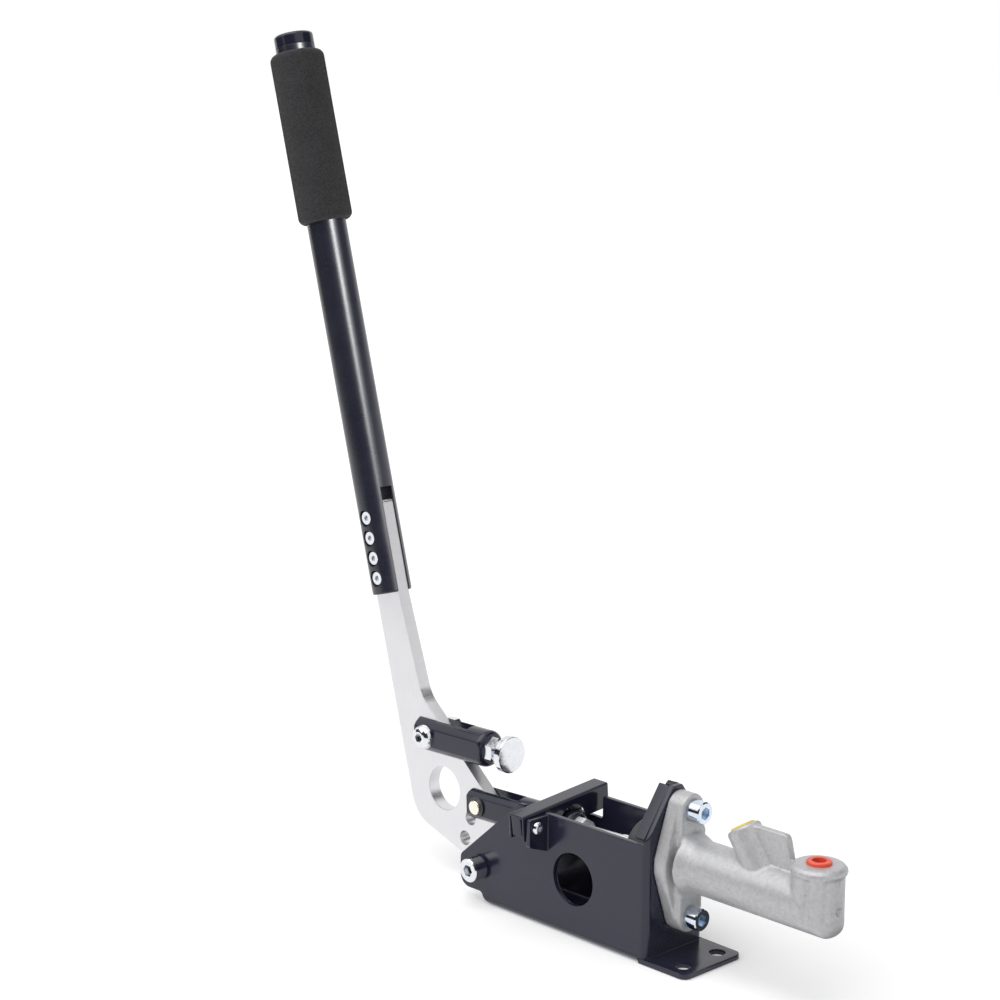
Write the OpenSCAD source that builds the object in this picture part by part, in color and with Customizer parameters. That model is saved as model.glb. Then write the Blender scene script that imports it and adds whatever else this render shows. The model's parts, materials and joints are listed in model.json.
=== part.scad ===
// Upright hydraulic parking brake lever: folded bracket, lever, push rod and master cylinder.
// x runs from the middle of the base's bolt holes towards the master cylinder, z is up from the underside.

/* [Base bracket] */
// Thickness of the folded sheet
sheet = 3; // [2:0.5:4]
// Outer width across the two cheeks
base_w = 45; // [42:1:56]
// Height of the cheeks
cheek_h = 64; // [62:1:70]
// Outer radius of the folds
fold_r = 4; // [3.5:0.5:6]
// Outer face of the end plate, ahead of the base's middle
end_x = 40; // [36:1:60]
// Height of the end plate's peak
end_h = 92; // [88:1:100]
// Drop of the end plate's shoulders below its peak
slant_drop = 26.5; // [22:0.5:30]
// Width of the end plate's flat peak
peak_w = 7; // [4:1:12]
// Length of the lips folded back along the end plate's slanted edges
lip_l = 10; // [6:1:14]
// Length of the foot ahead of the end plate
foot_l = 27.3; // [24:0.1:40]
// Corner radius of the foot
foot_r = 4.5; // [3:0.5:9]
// Distance between the front and rear rows of base bolts
bolt_rows = 116; // [112:1:118]
// Distance between the two front base bolts
front_gap = 26.5; // [24:0.5:32]
// Distance between the two rear base bolts
rear_gap = 23; // [20:1:26]
// Diameter of the base bolt holes
base_hole_d = 8.5; // [6.5:0.5:9]
// Diameter of the round window in the cheeks
window_d = 28.5; // [20:0.5:32]
// Centre of the window ahead of the pivot
window_x = 70; // [66:1:76]
// Centre of the window above the underside
window_z = 32.4; // [30:0.1:36]

/* [Pivot] */
// Pivot axis, ahead of the base's middle (negative is behind it)
pivot_x = -82; // [-84:1:-80]
// Height of the pivot axis
pivot_z = 20.5; // [20:0.5:24]
// Diameter of the pivot bolt
pivot_d = 8; // [6:1:10]
// Wall of the bush in the lever
bush_wall = 2; // [1.5:0.5:3]
// Outer diameter of the spacers beside the lever
spacer_d = 16; // [14:1:20]

/* [Clearances] */
// Radial gap of a pin or shaft that turns
run_gap = 0.05; // [0.02:0.01:0.1]
// Gap between flat faces that move past each other
side_gap = 0.3; // [0.2:0.05:0.6]
// Radial gap of a fixed bolt in its hole
bolt_gap = 0.2; // [0.05:0.05:0.4]

/* [Cross bar] */
// Width of the bar along the bracket
bar_w = 11; // [10:0.2:13.6]
// Height of the bar
bar_h = 14; // [12:0.5:15]
// Wall of the bar's folded channel
bar_wall = 1.3; // [1:0.1:2]
// Length of the bar past its screw, across the bracket
bar_far = 58.5; // [50:0.5:64]
// Length of the bar past its screw, on the near side
bar_near = 6.8; // [6:0.2:9]
// Rise of the bar towards the far cheek, in degrees
bar_tilt = 4.5; // [4:0.5:7]
// Height of the bar's screw
bar_z = 58; // [57:0.5:60]
// Distance of the bar's screw outside the near cheek
bar_out = 8.4; // [8:0.1:11]
// Inner face of the tab that carries the bar, ahead of the pivot
tab_x = 48.5; // [46:0.1:50]
// Length of the tab outside the near cheek
tab_l = 13.8; // [13:0.1:18]
// Diameter of the bar's screw
bar_screw_d = 4; // [3:0.5:5]

/* [Lever] */
// Thickness of the lever plate
lever_t = 8; // [6:0.5:10]
// Radius of the lever's rounded end at the pivot
lobe_r = 15.4; // [14:0.2:16]
// Lean of the handle from upright, in degrees
lean = 15.3; // [12:0.1:18]
// Foot of the handle behind the pivot
foot_back = 97.5; // [92:0.5:104]
// Foot of the handle above the pivot
foot_up = 133.5; // [128:0.5:140]
// Width of the plate inside the handle
blade_w = 19.6; // [17:0.2:20.4]
// Length of the plate inside the handle
blade_l = 53; // [48:1:58]
// Corner radius at the lever's heel and neck
bend_r = 20; // [14:1:26]
// Diameter of the large hole
big_hole_d = 25; // [18:0.5:27]
// Distance of the adjusting holes from the pivot
crank_r = 32; // [30:0.5:34]
// Angle of the clevis pin about the pivot, in degrees
crank_a = 124; // [122:0.5:126]
// Angle between neighbouring adjusting holes, in degrees
crank_step = 24.5; // [23:0.5:26]
// Diameter of the clevis pin
pin_d = 8; // [6:0.5:9]

/* [Handle] */
// Diameter of the handle
handle_d = 22.5; // [21:0.1:26]
// Length of the handle without its cap
handle_l = 316; // [300:1:340]
// Diameter of the handle's bore
handle_bore = 16.5; // [14:0.5:18]
// Depth of the slot for the lever plate
slot_l = 60; // [59:1:66]
// Number of handle screws
screw_n = 4; // [3:1:4]
// Distance between neighbouring handle screws
screw_pitch = 11.6; // [10:0.1:12.4]
// First handle screw above the handle's foot
screw_first = 9.3; // [8:0.1:11]
// Diameter of the handle screws
screw_d = 5; // [4:0.5:6]
// Outer diameter of the foam grip
grip_d = 30.8; // [28:0.2:34]
// Length of the foam grip
grip_l = 98; // [90:1:104]
// Lower end of the foam grip above the handle's foot
grip_from = 214.5; // [205:0.5:215]
// Height of the end cap's head
cap_h = 7; // [4:0.5:10]

/* [Forks] */
// Diameter of the stop fork
fork_d = 20.6; // [19:0.2:22]
// Diameter of the rod clevis
clevis_d = 19.2; // [18:0.2:19.6]
// Distance across the stop fork's side flats
fork_flats = 18.2; // [16:0.2:19]
// Distance across the rod clevis's side flats
clevis_flats = 16.6; // [15:0.2:17.6]
// Stop fork's screw behind the pivot
fork_back = 60.5; // [56:0.5:64]
// Stop fork's screw above the pivot
fork_up = 57.5; // [55:0.5:62]
// Rise of the stop fork's axis, in degrees
fork_tilt = 1.5; // [0:0.5:4]
// Length of the stop fork ahead of its screw
fork_l = 45.5; // [42:0.5:48]
// Diameter of the stop fork's screw and of the stop bolt
fork_screw_d = 8; // [6:1:8]
// Diameter of the stop bolt's head
stop_head_d = 20.6; // [18:0.2:22]
// Thickness of the stop bolt's head
stop_head_h = 4.5; // [3:0.5:6]
// Front face of the stop bolt's head ahead of the fork
stop_reach = 16.2; // [14:0.1:18]
// Length of the rod clevis ahead of its pin
clevis_l = 70; // [64:1:74]
// Length of either fork behind its screw or pin
fork_heel = 8.6; // [7.6:0.1:9.4]

/* [Master cylinder] */
// Drop of the upper flange bolt below the end plate's peak
bolt_drop = 10.7; // [10:0.1:13]
// Bore of the cylinder
bore_d = 19.05; // [15.88:0.01:20]
// Distance between the two flange bolts
flange_gap = 57.15; // [55:0.05:60]
// Diameter of the flange bolts
flange_bolt_d = 8; // [6:0.5:8]
// Thickness of the flange
flange_t = 10.7; // [8:0.1:13]
// Radius of the flange round the barrel
flange_r = 18; // [17.5:0.5:20]
// Radius of the flange round each bolt
ear_r = 8.6; // [8:0.2:10]
// Outer diameter of the barrel
barrel_d = 28; // [27:0.5:32]
// Outlet column ahead of the end plate's face
column_x = 91.6; // [86:0.2:100]
// Diameter of the outlet column
column_d = 26.4; // [25:0.2:30]
// Height of the column's top above the cylinder's axis
column_h = 22; // [20:0.5:24]
// Diameter of the inlet boss
inlet_d = 18; // [16:0.5:20]
// Mouth of the inlet boss ahead of the end plate's face
inlet_x = 43.5; // [40:0.5:50]
// Mouth of the inlet boss above the cylinder's axis
inlet_h = 28.3; // [26:0.1:32]
// Lean of the inlet boss towards the flange, in degrees
inlet_lean = 35; // [25:1:40]
// Diameter of the port holes
port_d = 9; // [7:0.5:10]
// Diameter of the push rod
rod_d = 8; // [6:0.5:8.5]
// Outer diameter of the dust boot
boot_d = 35; // [34:0.5:37]
// Length of the dust boot behind the end plate
boot_l = 19; // [18:0.5:22]

/* [Hidden] */
$fn = 64;

paint = "#222226";
zinc = "#c9cdd2";
cast = "#b9b9ba";
raw = "#d6d6d8";
anodised = "#141419";
rubber = "#2a2a2c";

eps = 0.01;
far = 300;
half_w = base_w / 2;
inner_w = base_w - 2 * sheet;

// Screw proportions of a common metric thread
function head_d(d) = 1.5 * d + 1;
function nut_af(d) = 1.5 * d + 1;
function nut_h(d) = 0.8 * d;
function washer_d(d) = head_d(d) + 0.8;
washer_t = 1.6;

// Height of the master cylinder's axis
mc_z = end_h - bolt_drop - flange_gap / 2;

// Bracket outline, from the pivot along x
heel_x = -16;
heel_z = 6.2;
step_x = 4.2;
ramp_z = 24;
peak_x = 29;
notch_x = 33;
notch_drop = 14.5;
far_notch_drop = 12.5;
far_notch_end = 51.3;
tab_below = 0.8;
plate_l = end_x - pivot_x;
slant_z = end_h - slant_drop;
lip_trim = 1.5;

// Cross bar, about its screw
bar_y = -half_w - bar_out;
bar_x = pivot_x + tab_x - side_gap - bar_w;
arch_r = clevis_d / 2 + 2 * side_gap;
arch_lift = 3.2;
flap_gap = 0.4;
flap_w = bar_w - 2 * bar_wall - 4 * flap_gap;
flap_h = 0.8 * bar_h;
flap_lean = 4.5;
tab_drop_root = 21;
tab_drop_free = 16;

// Handle frame: its foot on the lever, its axis leaning back
heel_corner = [-72.8, 7.5];
neck_corner = [-68, 78.6];
big_hole_at = [-49, 28.8];

// Clevis pin, push rod and piston at rest
pin_x = pivot_x + crank_r * cos(crank_a);
pin_z = pivot_z + crank_r * sin(crank_a);
spigot_l = 17;
ring_in = 1.5;
groove_l = 1.3;
keeper_x = end_x - spigot_l + ring_in + groove_l;
keeper_l = 1.5;
collar_l = 2.5;
tip_gap = 0.6;
piston_rear = keeper_x + keeper_l + 2 * side_gap + collar_l + tip_gap;
cup_depth = 7;
tip_x = piston_rear + cup_depth - tip_gap;
rod_rise = atan2(mc_z - pin_z, tip_x - pin_x);
rod_l = norm([tip_x - pin_x, mc_z - pin_z]);
collar_d = bore_d - 5;
keeper_hole = rod_d + 3;
ring_deep = 1.2;
boot_hole = rod_d + 2.8;
boot_wall = 2;
// Arch of the cross bar: the rod's height there, and its rise as the lever is pulled
arch_z = pin_z + (bar_x + bar_w / 2 - pin_x) * tan(rod_rise) + arch_lift;
clevis_slot = 29;
fork_slot = 30;
fork_round = 3;
fork_heel_r = 1.5;
clevis_heel_r = 4;
rod_thread = 24;

// Inside the master cylinder
spigot_d = bore_d + 11;
nose_wall = 2.4;
bore_end = end_x + column_x - column_d / 2 - nose_wall;
piston_l = 42;
piston_r = bore_d / 2 - run_gap;
waist_deep = 3;
land_l = 6;
cup_l = 5;
spring_wire = 1.4;
spring_turns = 7;
spring_gap = 0.4;
spring_in = 2.2;

function unit(v) = v / norm(v);
function turn(a, b) = let (d = b - a) d > 180 ? d - 360 : d < -180 ? d + 360 : d;

// Corner of an outline, rounded by an arc of radius r
function corner(a, b, c, r, n = 8) =
    r == 0 ? [b] :
    let (u = unit(a - b), v = unit(c - b))
    let (half = acos(max(-1, min(1, u * v))) / 2)
    let (m = b + unit(u + v) * r / sin(half))
    let (p = b + u * r / tan(half) - m, q = b + v * r / tan(half) - m)
    let (a0 = atan2(p[1], p[0]), sweep = turn(a0, atan2(q[1], q[0])))
    [for (i = [0:n]) m + r * [cos(a0 + sweep * i / n), sin(a0 + sweep * i / n)]];

// Outline through corners given as [x, y, radius]
function rounded(list) =
    let (n = len(list))
    let (p = [for (c = list) [c[0], c[1]]])
    [for (i = [0:n - 1]) each corner(p[(i + n - 1) % n], p[i], p[(i + 1) % n], list[i][2])];

// Point where a line from p touches a circle of radius r at the origin, on the left or right of p
function touch(p, r, side) =
    let (d = norm(p))
    r * r / (d * d) * p + side * r * sqrt(d * d - r * r) / (d * d) * [-p[1], p[0]];

// Round end of the lever, clockwise about the origin from p to q
function lobe_arc(p, q, n = 24) =
    let (a = atan2(p[1], p[0]), sweep = (atan2(q[1], q[0]) - a - 360) % 360)
    [for (i = [0:n]) [norm(p) * cos(a + sweep * i / n), norm(p) * sin(a + sweep * i / n), 0]];

// Outline in x and z, made thick from y0 to y1
module across(y0, y1) {
    translate([0, y1, 0]) rotate([90, 0, 0]) linear_extrude(y1 - y0) children();
}

// Outline in y and z, made thick from x0 to x1
module along(x0, x1) {
    translate([x0, 0, 0]) rotate([90, 0, 90]) linear_extrude(x1 - x0) children();
}

module rod_x(x0, x1, d) {
    translate([x0, 0, 0]) rotate([0, 90, 0]) cylinder(h = x1 - x0, d = d);
}

module rod_y(y0, y1, d) {
    translate([0, y0, 0]) rotate([-90, 0, 0]) cylinder(h = y1 - y0, d = d);
}

module at_pivot() {
    translate([pivot_x, 0, pivot_z]) children();
}

module on_axis() {
    translate([0, 0, mc_z]) children();
}

// Handle frame: z runs up the handle's axis from its foot
module at_handle() {
    at_pivot() translate([-foot_back, 0, foot_up]) rotate([0, -lean, 0]) children();
}

// Stop fork frame: x runs along its axis from its screw
module at_fork() {
    at_pivot() translate([-fork_back, 0, fork_up]) rotate([0, -fork_tilt, 0]) children();
}

// Push rod frame: x runs along the rod from the clevis pin
module at_rod() {
    translate([pin_x, 0, pin_z]) rotate([0, -rod_rise, 0]) children();
}

// Cross bar frame: y runs along the bar from its screw
module at_bar() {
    translate([bar_x, bar_y, bar_z]) rotate([bar_tilt, 0, 0]) children();
}

// Hexagon nut along z from 0, with its corners chamfered
module nut(d, h) {
    difference() {
        intersection() {
            cylinder(h = h, d = nut_af(d) / cos(30), $fn = 6);
            rotate_extrude() polygon(nut_profile(nut_af(d), h));
        }
        translate([0, 0, -eps]) cylinder(h = h + 2 * eps, d = d + 2 * run_gap);
    }
}

function nut_profile(af, h) =
    let (r = af / 2, c = af / cos(30) / 2)
    [[0, 0], [r, 0], [c, (c - r) * 0.6], [c, h - (c - r) * 0.6], [r, h], [0, h]];

// Socket cap screw along z: head above 0, shank below
module cap_screw(d, l, dh, hh, af) {
    difference() {
        union() {
            translate([0, 0, -l]) cylinder(h = l + eps, d = d);
            rotate_extrude() polygon([[0, 0], [dh / 2, 0], [dh / 2, hh - 0.6], [dh / 2 - 0.6, hh], [0, hh]]);
        }
        translate([0, 0, hh / 2]) cylinder(h = hh, d = af / cos(30), $fn = 6);
    }
}

// Button-head screw along z: domed head above 0, shank below
module button_screw(d, l) {
    r = 0.875 * d;
    h = 0.55 * d;
    difference() {
        union() {
            translate([0, 0, -l]) cylinder(h = l + eps, d = d);
            rotate_extrude() polygon(rounded([[0, 0, 0], [r, 0, 0], [r, h, 0.95 * h], [0, h, 0]]));
        }
        translate([0, 0, h / 2]) cylinder(h = h, d = 0.62 * d / cos(30), $fn = 6);
    }
}

// Cheek outline in x and z from the pivot, with a notch for the cross bar
module cheek(drop, notch_end) {
    polygon(rounded([
        [heel_x, heel_z, 7], [heel_x, ramp_z, 4], [peak_x, cheek_h, 2], [notch_x, cheek_h, 0.8],
        [notch_x, cheek_h - drop, 1.5], [notch_end, cheek_h - drop, 1.5], [notch_end, cheek_h, 0.8],
        [plate_l, cheek_h, 0], [plate_l, 0, 0], [step_x, 0, 2.5], [0.6, heel_z, 2.5]
    ]));
}

module channel_section(half) {
    difference() {
        polygon(rounded([
            [-half_w, end_h, 0], [-half_w, 0, fold_r], [half_w, 0, fold_r], [half_w, end_h, 0]
        ]));
        polygon(rounded([
            [-inner_w / 2, end_h + 1, 0], [-inner_w / 2, sheet, fold_r - sheet],
            [inner_w / 2, sheet, fold_r - sheet], [inner_w / 2, end_h + 1, 0]
        ]));
        translate([half == "near" ? 0 : -far, -1]) square([far, end_h + 2]);
    }
}

module end_outline() {
    polygon(rounded([
        [-half_w, 0, 0], [-half_w, slant_z, 2], [-peak_w / 2, end_h, 2], [peak_w / 2, end_h, 2],
        [half_w, slant_z, 2], [half_w, 0, 0]
    ]));
}

// Band along one slanted edge of the end plate
module lip_outline() {
    a = [-half_w, slant_z];
    b = [-peak_w / 2, end_h];
    n = unit([b[1] - a[1], a[0] - b[0]]) * sheet;
    trim = unit(b - a) * lip_trim;
    polygon([a + trim, b, b + n, a + trim + n]);
}

module tab_outline() {
    polygon(rounded([
        [-half_w + sheet, cheek_h - tab_below, 0], [-half_w - tab_l, cheek_h - tab_below, 1.5],
        [-half_w - tab_l, cheek_h - tab_drop_free, 2], [-half_w, cheek_h - tab_drop_root, 3],
        [-half_w + sheet, cheek_h - tab_drop_root, 0]
    ]));
}

module bracket_sheets() {
    intersection() {
        union() {
            intersection() {
                translate([pivot_x, 0, 0]) across(-far, far) cheek(notch_drop, tab_x);
                along(-far, far) channel_section("near");
            }
            intersection() {
                translate([pivot_x, 0, 0]) across(-far, far) cheek(far_notch_drop, far_notch_end);
                along(-far, far) channel_section("far");
            }
            along(end_x - sheet, end_x) end_outline();
        }
        linear_extrude(end_h + 1) polygon(rounded([
            [-far, -half_w, 0], [end_x, -half_w, fold_r], [end_x, half_w, fold_r], [-far, half_w, 0]
        ]));
    }
    for (s = [0, 1]) mirror([0, s, 0]) along(end_x - lip_l, end_x - sheet + eps) lip_outline();
    linear_extrude(sheet) polygon(rounded([
        [end_x - fold_r - 1, -half_w, 0], [end_x + foot_l, -half_w, foot_r], [end_x + foot_l, half_w, foot_r],
        [end_x - fold_r - 1, half_w, 0]
    ]));
    along(pivot_x + tab_x, pivot_x + tab_x + sheet) tab_outline();
}

module base_bracket() {
    color(paint) difference() {
        bracket_sheets();
        at_pivot() rod_y(-half_w - 1, half_w + 1, pivot_d + 2 * bolt_gap);
        translate([pivot_x + window_x, 0, window_z]) rod_y(-half_w - 1, half_w + 1, window_d);
        on_axis() rod_x(end_x - sheet - 1, end_x + 1, spigot_d + 2 * bolt_gap);
        for (s = [-1, 1])
            translate([0, 0, mc_z + s * flange_gap / 2])
                rod_x(end_x - sheet - 1, end_x + 1, flange_bolt_d + 2 * bolt_gap);
        for (s = [-1, 1]) {
            translate([bolt_rows / 2, s * front_gap / 2, -1]) cylinder(h = sheet + 2, d = base_hole_d);
            translate([-bolt_rows / 2, s * rear_gap / 2, -1]) cylinder(h = sheet + 2, d = base_hole_d);
        }
        translate([0, bar_y, bar_z])
            rod_x(pivot_x + tab_x - 1, pivot_x + tab_x + sheet + 1, bar_screw_d + 2 * bolt_gap);
    }
}

module pivot_bolt() {
    reach = base_w + 2 * washer_t + nut_h(pivot_d) + 2;
    color(zinc) at_pivot() translate([0, -half_w - washer_t, 0]) rotate([90, 0, 0])
        cap_screw(pivot_d, reach, head_d(pivot_d), pivot_d, 0.75 * pivot_d);
}

module pivot_washers() {
    color(anodised) at_pivot() for (y = [-half_w - washer_t, half_w])
        difference() {
            rod_y(y, y + washer_t, washer_d(pivot_d));
            rod_y(y - eps, y + washer_t + eps, pivot_d + 2 * run_gap);
        }
}

module pivot_nut() {
    color(zinc) at_pivot() translate([0, half_w + washer_t, 0]) rotate([-90, 0, 0])
        nut(pivot_d, nut_h(pivot_d));
}

module pivot_spacers() {
    color(zinc) at_pivot() for (s = [0, 1]) mirror([0, s, 0])
        difference() {
            rod_y(lever_t / 2 + side_gap, inner_w / 2, spacer_d);
            rod_y(0, half_w, pivot_d + 2 * run_gap);
        }
}

module bar_screw() {
    reach = sheet + side_gap + bar_wall + nut_h(bar_screw_d) + side_gap + 1;
    color(zinc) translate([pivot_x + tab_x + sheet, bar_y, bar_z]) rotate([0, 90, 0])
        button_screw(bar_screw_d, reach);
}

module bar_nut() {
    color(zinc) translate([bar_x + bar_w - bar_wall - side_gap - nut_h(bar_screw_d), bar_y, bar_z])
        rotate([0, 90, 0]) nut(bar_screw_d, nut_h(bar_screw_d));
}

// Folded channel, open below, with a flap at its near end and an arch over the clevis
module cross_bar() {
    color(paint) difference() {
        at_bar() {
            difference() {
                across(-bar_near, bar_far) difference() {
                    polygon(rounded([
                        [0, -bar_h / 2, 0], [0, bar_h / 2, bar_wall], [bar_w, bar_h / 2, bar_wall],
                        [bar_w, -bar_h / 2, 0]
                    ]));
                    translate([bar_wall, -bar_h / 2 - 1])
                        square([bar_w - 2 * bar_wall, bar_h + 1 - bar_wall]);
                }
                rod_x(bar_w - bar_wall - 1, bar_w + 1, bar_screw_d + 2 * run_gap);
            }
            across(-bar_near, bar_wall - bar_near)
                translate([bar_wall + flap_gap, bar_h / 2 - bar_wall / 2]) rotate(flap_lean)
                    translate([0, -flap_h]) square([flap_w, flap_h - bar_wall / 2]);
        }
        translate([0, 0, arch_z]) rod_x(bar_x - 1, bar_x + bar_w + 1, 2 * arch_r);
        translate([bar_x - 1, -arch_r, 0]) cube([bar_w + 2, 2 * arch_r, arch_z]);
    }
}

module lever_outline() {
    foot = [-foot_back, foot_up];
    up = [-sin(lean), cos(lean)];
    side = [cos(lean), sin(lean)] * blade_w / 2;
    tip = foot + up * blade_l;
    polygon(rounded([
        [tip[0] - side[0], tip[1] - side[1], 2], [tip[0] + side[0], tip[1] + side[1], 2],
        [foot[0] + side[0], foot[1] + side[1], 0], [neck_corner[0], neck_corner[1], bend_r],
        each lobe_arc(touch(neck_corner, lobe_r, -1), touch(heel_corner, lobe_r, 1)),
        [heel_corner[0], heel_corner[1], bend_r]
    ]));
}

module lever_plate() {
    color(raw) difference() {
        at_pivot() across(-lever_t / 2, lever_t / 2) difference() {
            lever_outline();
            translate(big_hole_at) circle(d = big_hole_d);
        }
        at_pivot() rod_y(-lever_t, lever_t, pivot_d + 2 * run_gap + 2 * bush_wall);
        for (i = [0:2])
            at_pivot() rotate([0, -crank_a - i * crank_step, 0]) translate([crank_r, 0, 0])
                rod_y(-lever_t, lever_t, pin_d + 2 * run_gap);
        at_fork() rod_y(-lever_t, lever_t, fork_screw_d + 2 * run_gap);
        for (i = [0:screw_n - 1])
            at_handle() translate([0, 0, screw_first + i * screw_pitch])
                rod_y(-lever_t, lever_t, screw_d + 2 * run_gap);
    }
}

module pivot_bush() {
    color("#b08d57") at_pivot() difference() {
        rod_y(-lever_t / 2, lever_t / 2, pivot_d + 2 * run_gap + 2 * bush_wall);
        rod_y(-lever_t, lever_t, pivot_d + 2 * run_gap);
    }
}

screw_head_d = 1.7 * screw_d;
screw_head_h = 0.6 * screw_d;
screw_sink = 1.6;
screw_short = 3;
tang_wall = 12;
cap_plug = 12;
cap_round = 1.8;
grip_round = 3.4;

module handle_tube() {
    color(anodised) at_handle() difference() {
        rotate_extrude() polygon([
            [0, 0], [handle_d / 2 - 0.6, 0], [handle_d / 2, 0.6], [handle_d / 2, handle_l], [0, handle_l]
        ]);
        translate([0, 0, slot_l + tang_wall]) cylinder(h = handle_l, d = handle_bore);
        translate([-handle_d, -lever_t / 2 - run_gap, -1])
            cube([2 * handle_d, lever_t + 2 * run_gap, slot_l + 1]);
        for (i = [0:screw_n - 1]) translate([0, 0, screw_first + i * screw_pitch]) {
            rod_y(-handle_d, handle_d, screw_d + 2 * run_gap);
            rod_y(-handle_d, -handle_d / 2 + screw_sink + screw_head_h, screw_head_d + 2 * bolt_gap);
        }
    }
}

module handle_screws() {
    reach = handle_d - screw_sink - screw_head_h - screw_short;
    color(zinc) at_handle() for (i = [0:screw_n - 1])
        translate([0, -handle_d / 2 + screw_sink + screw_head_h, screw_first + i * screw_pitch])
            rotate([90, 0, 0]) cap_screw(screw_d, reach, screw_head_d, screw_head_h, 0.6 * screw_d);
}

module foam_grip() {
    r = grip_d / 2;
    inner = handle_d / 2 + run_gap;
    edge = min(grip_round, 0.85 * (r - inner));
    color(rubber) at_handle() translate([0, 0, grip_from]) rotate_extrude() polygon(rounded([
        [inner, 0, 0], [r, 0, edge], [r, grip_l, edge], [inner, grip_l, 0]
    ]));
}

module end_cap() {
    r = handle_d / 2;
    color(anodised) at_handle() translate([0, 0, handle_l]) rotate_extrude() polygon(rounded([
        [0, -cap_plug, 0], [handle_bore / 2 - run_gap, -cap_plug, 0.8], [handle_bore / 2 - run_gap, 0, 0],
        [r, 0, 0], [r, cap_h, cap_round], [0, cap_h, 0]
    ]));
}

// Round bar along x with side flats, a round nose, a heel rounded by r and a slot for the lever
module fork_body(d, l, flats, r, slot, hole_d, gap, thread_d) {
    difference() {
        intersection() {
            rotate([0, 90, 0]) rotate_extrude() polygon(rounded([
                [0, -fork_heel, 0], [d / 2, -fork_heel, 0], [d / 2, l, fork_round], [0, l, 0]
            ]));
            across(-flats / 2, flats / 2) polygon(rounded([
                [-fork_heel, -d / 2, r], [-fork_heel, d / 2, r], [l + 1, d / 2, 0], [l + 1, -d / 2, 0]
            ]));
        }
        translate([-2 * d, -lever_t / 2 - gap, -d]) cube([2 * d + slot, lever_t + 2 * gap, 2 * d]);
        rod_y(-d, d, hole_d);
        rod_x(slot - 1, l + 1, thread_d);
    }
}

module stop_fork() {
    hole_d = fork_screw_d + 2 * run_gap;
    color(paint) at_fork()
        fork_body(fork_d, fork_l, fork_flats, fork_heel_r, fork_slot, hole_d, run_gap, hole_d);
}

module fork_screw() {
    reach = fork_flats + nut_h(fork_screw_d) + 1;
    color(zinc) at_fork() translate([0, -fork_flats / 2, 0]) rotate([90, 0, 0])
        button_screw(fork_screw_d, reach);
}

module fork_nut() {
    color(zinc) at_fork() translate([0, fork_flats / 2, 0]) rotate([-90, 0, 0])
        nut(fork_screw_d, nut_h(fork_screw_d));
}

module stop_bolt() {
    r = stop_head_d / 2;
    tip = fork_l + stop_reach;
    color(zinc) at_fork() {
        rod_x(fork_slot + 3, tip - stop_head_h + eps, fork_screw_d);
        translate([tip - stop_head_h, 0, 0]) rotate([0, 90, 0]) rotate_extrude() polygon(rounded([
            [0, 0, 0], [r, 0, 0.6], [r, stop_head_h, 0.8], [0, stop_head_h, 0]
        ]));
    }
}

module stop_locknut() {
    color(zinc) at_fork() translate([fork_l, 0, 0]) rotate([0, 90, 0]) nut(fork_screw_d, nut_h(fork_screw_d));
}

module rod_clevis() {
    pin_hole = pin_d + 2 * run_gap;
    color(paint) at_rod() fork_body(
        clevis_d, clevis_l, clevis_flats, clevis_heel_r, clevis_slot, pin_hole, side_gap, rod_d + 2 * run_gap
    );
}

clip_t = 1;
clip_d = pin_d + 3.4;
clip_seat = pin_d - 1.6;
pin_over = 2.6;

module clevis_pin() {
    reach = clevis_flats / 2 + pin_over;
    color("#cfc8b4") at_rod() translate([0, -reach, 0]) rotate([-90, 0, 0]) difference() {
        rotate_extrude() polygon(rounded([
            [0, 0, 0], [pin_d / 2, 0, 0.6], [pin_d / 2, 2 * reach, 0.6], [0, 2 * reach, 0]
        ]));
        for (z = [pin_over - clip_t, 2 * reach - pin_over])
            translate([0, 0, z]) difference() {
                cylinder(h = clip_t, d = 2 * pin_d);
                translate([0, 0, -1]) cylinder(h = clip_t + 2, d = clip_seat);
            }
    }
}

module clevis_clips() {
    color(anodised) at_rod() for (s = [0, 1]) mirror([0, s, 0])
        difference() {
            rod_y(clevis_flats / 2, clevis_flats / 2 + clip_t, clip_d);
            rod_y(0, far, clip_seat + 2 * run_gap);
            translate([0, 0, -pin_d]) cube([pin_d * 0.6, far, 2 * pin_d], center = true);
        }
}

// Rod with a round tip and a collar that the stop washer holds in the bore
module push_rod() {
    color(zinc) at_rod() {
        rod_x(clevis_l - rod_thread, rod_l - rod_d / 2, rod_d);
        translate([rod_l - rod_d / 2, 0, 0]) rotate([0, 90, 0]) rotate_extrude()
            intersection() {
                circle(d = rod_d);
                translate([0, -rod_d]) square(2 * rod_d);
            }
        rod_x(rod_l - cup_depth - collar_l, rod_l - cup_depth, collar_d);
    }
}

module rod_locknut() {
    color(zinc) at_rod() translate([clevis_l + eps, 0, 0]) rotate([0, 90, 0]) nut(rod_d, nut_h(rod_d));
}

// Flange outline in y and z about the cylinder's axis
module flange_outline() {
    d = flange_gap / 2;
    b = acos((flange_r - ear_r) / d);
    c = [sin(b), cos(b)];
    p = flange_r * c;
    q = ear_r * c + [0, d];
    circle(r = flange_r);
    for (s = [-1, 1]) translate([0, s * d]) circle(r = ear_r);
    for (s = [-1, 1]) polygon([p, q, [-q[0], q[1]], [-p[0], p[1]]] * [[1, 0], [0, s]]);
}

// Inlet boss frame: z runs out of its mouth
module at_inlet() {
    translate([end_x + inlet_x, 0, mc_z + inlet_h]) rotate([0, -inlet_lean, 0]) children();
}

web_t = 4.4;
web_l = 31;
wing_t = 0.7 * flange_t;
collar_h = 5;
collar_out = 1.1;
neck_l = 7;
web_drop = 1.9;
web_foot = 3.5;
web_slope = 4.5;
rim_r = 1.4;
nose_r = 6;
port_depth = 14;
port_sink = 2;
passage_d = 3.2;
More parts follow.
